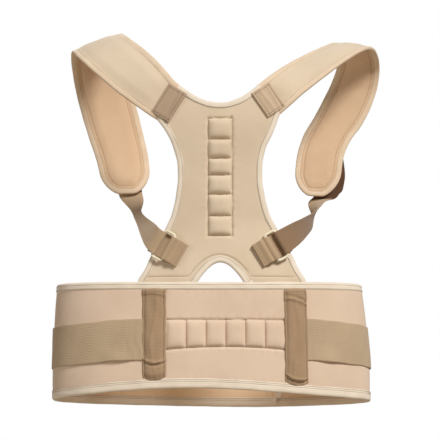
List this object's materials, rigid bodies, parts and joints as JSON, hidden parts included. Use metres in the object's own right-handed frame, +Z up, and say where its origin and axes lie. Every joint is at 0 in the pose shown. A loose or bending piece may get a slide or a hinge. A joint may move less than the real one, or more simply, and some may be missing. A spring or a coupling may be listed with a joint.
{
  "type": "posture corrector",
  "caption": "Back brace with an hourglass back panel, wide waist belt, padded shoulder straps, twisted webbing with sliders, stays and quilted foam squares.",
  "frame": {"origin": "middle of the waist belt's hollow, at the belt's mid height, where the wearer's torso sits", "axes": "+Z up along the wearer's spine, -Y towards the back of the brace, which is its outer face, and -X towards the wearer's left"},
  "size_m": [0.4238, 0.1849, 0.4782],
  "materials": {
    "foam_fabric": "brushed knit laminated on foam, warm beige",
    "belt_fabric": "brushed knit laminated on foam, pinkish beige",
    "binding_tape": "folded ribbed edging tape, cream",
    "side_elastic": "ribbed woven elastic, khaki tan",
    "strap_webbing": "woven webbing, tan",
    "stay_webbing": "woven webbing pocket, brown tan",
    "patch_webbing": "woven webbing, grey brown, stitched edges",
    "moulded_plastic": "moulded plastic, cream, satin"
  },
  "bodies": {
    "root": {"back_panel": "foam_fabric", "neck_binding": "binding_tape", "arch_binding": "binding_tape", "side_binding_left": "binding_tape", "shoulder_strap_left": "foam_fabric", "strap_binding_left": "binding_tape", "shoulder_patch_left": "patch_webbing", "webbing_left": "strap_webbing", "slider_left": "moulded_plastic", "anchor_tab_left": "strap_webbing", "stay_pocket_left": "stay_webbing", "side_elastic_left": "side_elastic", "side_binding_right": "binding_tape", "shoulder_strap_right": "foam_fabric", "strap_binding_right": "binding_tape", "shoulder_patch_right": "patch_webbing", "webbing_right": "strap_webbing", "slider_right": "moulded_plastic", "anchor_tab_right": "strap_webbing", "stay_pocket_right": "stay_webbing", "side_elastic_right": "side_elastic", "belt_body": "belt_fabric", "belt_binding_top": "binding_tape", "belt_binding_bottom": "binding_tape", "belt_end_binding_inner": "binding_tape", "belt_end_binding_outer": "binding_tape"}
  },
  "joints": []
}
